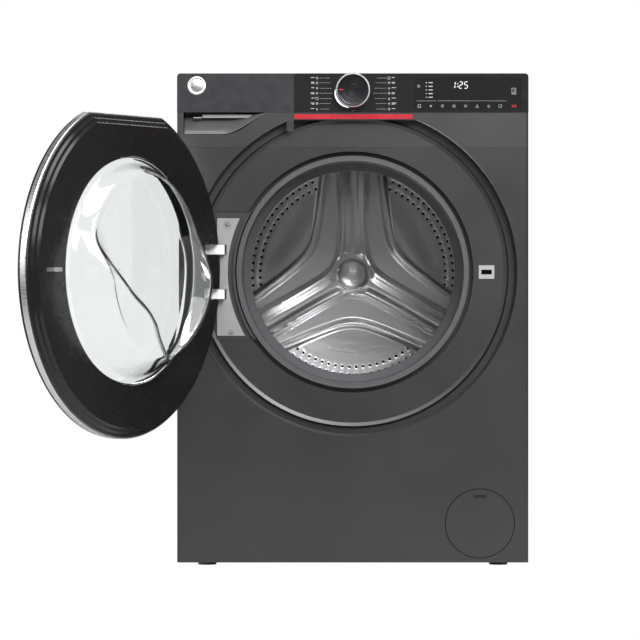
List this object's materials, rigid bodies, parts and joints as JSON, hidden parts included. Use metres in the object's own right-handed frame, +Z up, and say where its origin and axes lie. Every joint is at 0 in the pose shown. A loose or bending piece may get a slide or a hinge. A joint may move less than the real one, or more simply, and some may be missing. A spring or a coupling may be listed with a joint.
{
  "type": "front load washing machine",
  "caption": "Free-standing front loading washing machine in graphite with an open side-hung porthole door, stainless drum, detergent drawer and rotary dial.",
  "frame": {"origin": "centre of the cabinet's footprint, on the floor under the levelling feet", "axes": "+X to the viewer's right, +Y from the front into the machine, +Z up"},
  "size_m": [0.8242, 1.0526, 0.8506],
  "materials": {
    "graphite_paint": "satin",
    "graphite_plastic": "satin",
    "fascia_gloss": "gloss",
    "display_glass": "gloss",
    "red_plastic": "gloss",
    "galvanised_steel": "satin",
    "stainless": "brushed",
    "chrome": "polished",
    "knob_black": "spun",
    "light_guide": "gloss",
    "white_plastic": "satin",
    "grey_plastic": "satin",
    "blue_plastic": "satin",
    "pale_steel": "satin",
    "pale_grey_plastic": "satin",
    "black_plastic": "satin",
    "clear_glass": "clear",
    "gasket_rubber": "satin",
    "black_rubber": "matte",
    "cast_aluminium": "cast",
    "concrete": "rough",
    "tub_plastic": "matte",
    "spring_steel": "satin"
  },
  "bodies": {
    "cabinet": {"base_tray": "graphite_plastic", "control_panel": "fascia_gloss", "counterweight": "concrete", "dampers": "grey_plastic", "dispenser_housing": "grey_plastic", "display_window": "display_glass", "door_lock": "black_plastic", "drain_outlet": "grey_plastic", "drain_pump": "grey_plastic", "drive_belt": "black_rubber", "drive_motor": "cast_aluminium", "drum_bearings": "spring_steel", "front_panel": "graphite_paint", "gasket": "gasket_rubber", "hinge_arms": "pale_steel", "hinge_bezel": "graphite_plastic", "hinge_plate": "galvanised_steel", "hinge_screws": "galvanised_steel", "knob_light_ring": "light_guide", "lock_plate": "pale_grey_plastic", "mains_gland": "black_plastic", "rear_panel": "graphite_paint", "rear_service_cover": "graphite_plastic", "red_accent_strip": "red_plastic", "side_panel_left": "graphite_paint", "side_panel_right": "graphite_paint", "sump_hose": "black_rubber", "suspension_springs": "spring_steel", "top_brace": "galvanised_steel", "transit_bolt_caps": "black_plastic", "tub_front": "tub_plastic", "tub_rear": "tub_plastic", "upper_front_trim": "graphite_plastic", "water_inlet_valve": "white_plastic", "worktop": "graphite_plastic"},
    "door": {"door_inner_frame": "black_plastic", "door_rim": "chrome", "door_cover": "black_plastic", "door_window": "clear_glass", "door_glass": "clear_glass", "door_screws": "galvanised_steel", "hinge_pin": "galvanised_steel"},
    "latch_hook": {"door_hook": "galvanised_steel"},
    "drum": {"drum_shell": "stainless", "drum_back": "stainless", "drum_lifters": "grey_plastic", "drum_spider": "cast_aluminium", "drum_pulley": "cast_aluminium"},
    "motor_rotor": {"motor_pulley": "galvanised_steel"},
    "knob": {"programme_knob": "knob_black", "knob_trim_ring": "chrome"},
    "drawer": {"drawer_front": "graphite_plastic", "drawer_tray": "grey_plastic", "siphon_cap": "blue_plastic"},
    "flap": {"filter_flap": "graphite_paint"},
    "plug": {"filter_plug": "white_plastic"},
    "foot_fl": {"foot_front_left": "pale_grey_plastic"},
    "foot_fr": {"foot_front_right": "pale_grey_plastic"},
    "foot_rl": {"foot_rear_left": "pale_grey_plastic"},
    "foot_rr": {"foot_rear_right": "pale_grey_plastic"}
  },
  "joints": [
    {"name": "door_hinge", "type": "hinge", "parent": "cabinet", "child": "door", "pos_m": [-0.25, -0.294, 0.511], "axis": [0, 0, -1], "range_deg": [-121, 29]},
    {"name": "latch_pivot", "type": "hinge", "parent": "door", "child": "latch_hook", "pos_m": [-0.48247, -0.71197, 0.511], "axis": [0, 0, 1], "range_deg": [0, 8], "stiffness_Nm_per_rad": 0.2},
    {"name": "drum_spin", "type": "hinge", "parent": "cabinet", "child": "drum", "pos_m": [0, 0.02, 0.511], "axis": [0, 1, 0], "continuous": true},
    {"name": "motor_spin", "type": "hinge", "parent": "cabinet", "child": "motor_rotor", "pos_m": [-0.11, 0.258, 0.165], "axis": [0, 1, 0], "continuous": true},
    {"name": "knob_turn", "type": "hinge", "parent": "cabinet", "child": "knob", "pos_m": [0.0005, -0.29, 0.821], "axis": [0, 1, 0], "continuous": true},
    {"name": "drawer_slide", "type": "slide", "parent": "cabinet", "child": "drawer", "axis": [0, -1, 0], "range_m": [0, 0.2]},
    {"name": "flap_hinge", "type": "hinge", "parent": "cabinet", "child": "flap", "pos_m": [0.217, -0.2788, 0.03], "axis": [1, 0, 0], "range_deg": [0, 60]},
    {"name": "plug_twist", "type": "hinge", "parent": "cabinet", "child": "plug", "pos_m": [0.217, -0.25, 0.0817], "axis": [0, -1, 0], "range_deg": [0, 90]},
    {"name": "foot_fl_screw", "type": "slide", "parent": "cabinet", "child": "foot_fl", "axis": [0, 0, -1], "range_m": [0, 0.012]},
    {"name": "foot_fr_screw", "type": "slide", "parent": "cabinet", "child": "foot_fr", "axis": [0, 0, -1], "range_m": [0, 0.012]},
    {"name": "foot_rl_screw", "type": "slide", "parent": "cabinet", "child": "foot_rl", "axis": [0, 0, -1], "range_m": [0, 0.012]},
    {"name": "foot_rr_screw", "type": "slide", "parent": "cabinet", "child": "foot_rr", "axis": [0, 0, -1], "range_m": [0, 0.012]}
  ],
  "couplings": [
    {"joint": "motor_spin", "follows": "drum_spin", "ratio": 14}
  ]
}
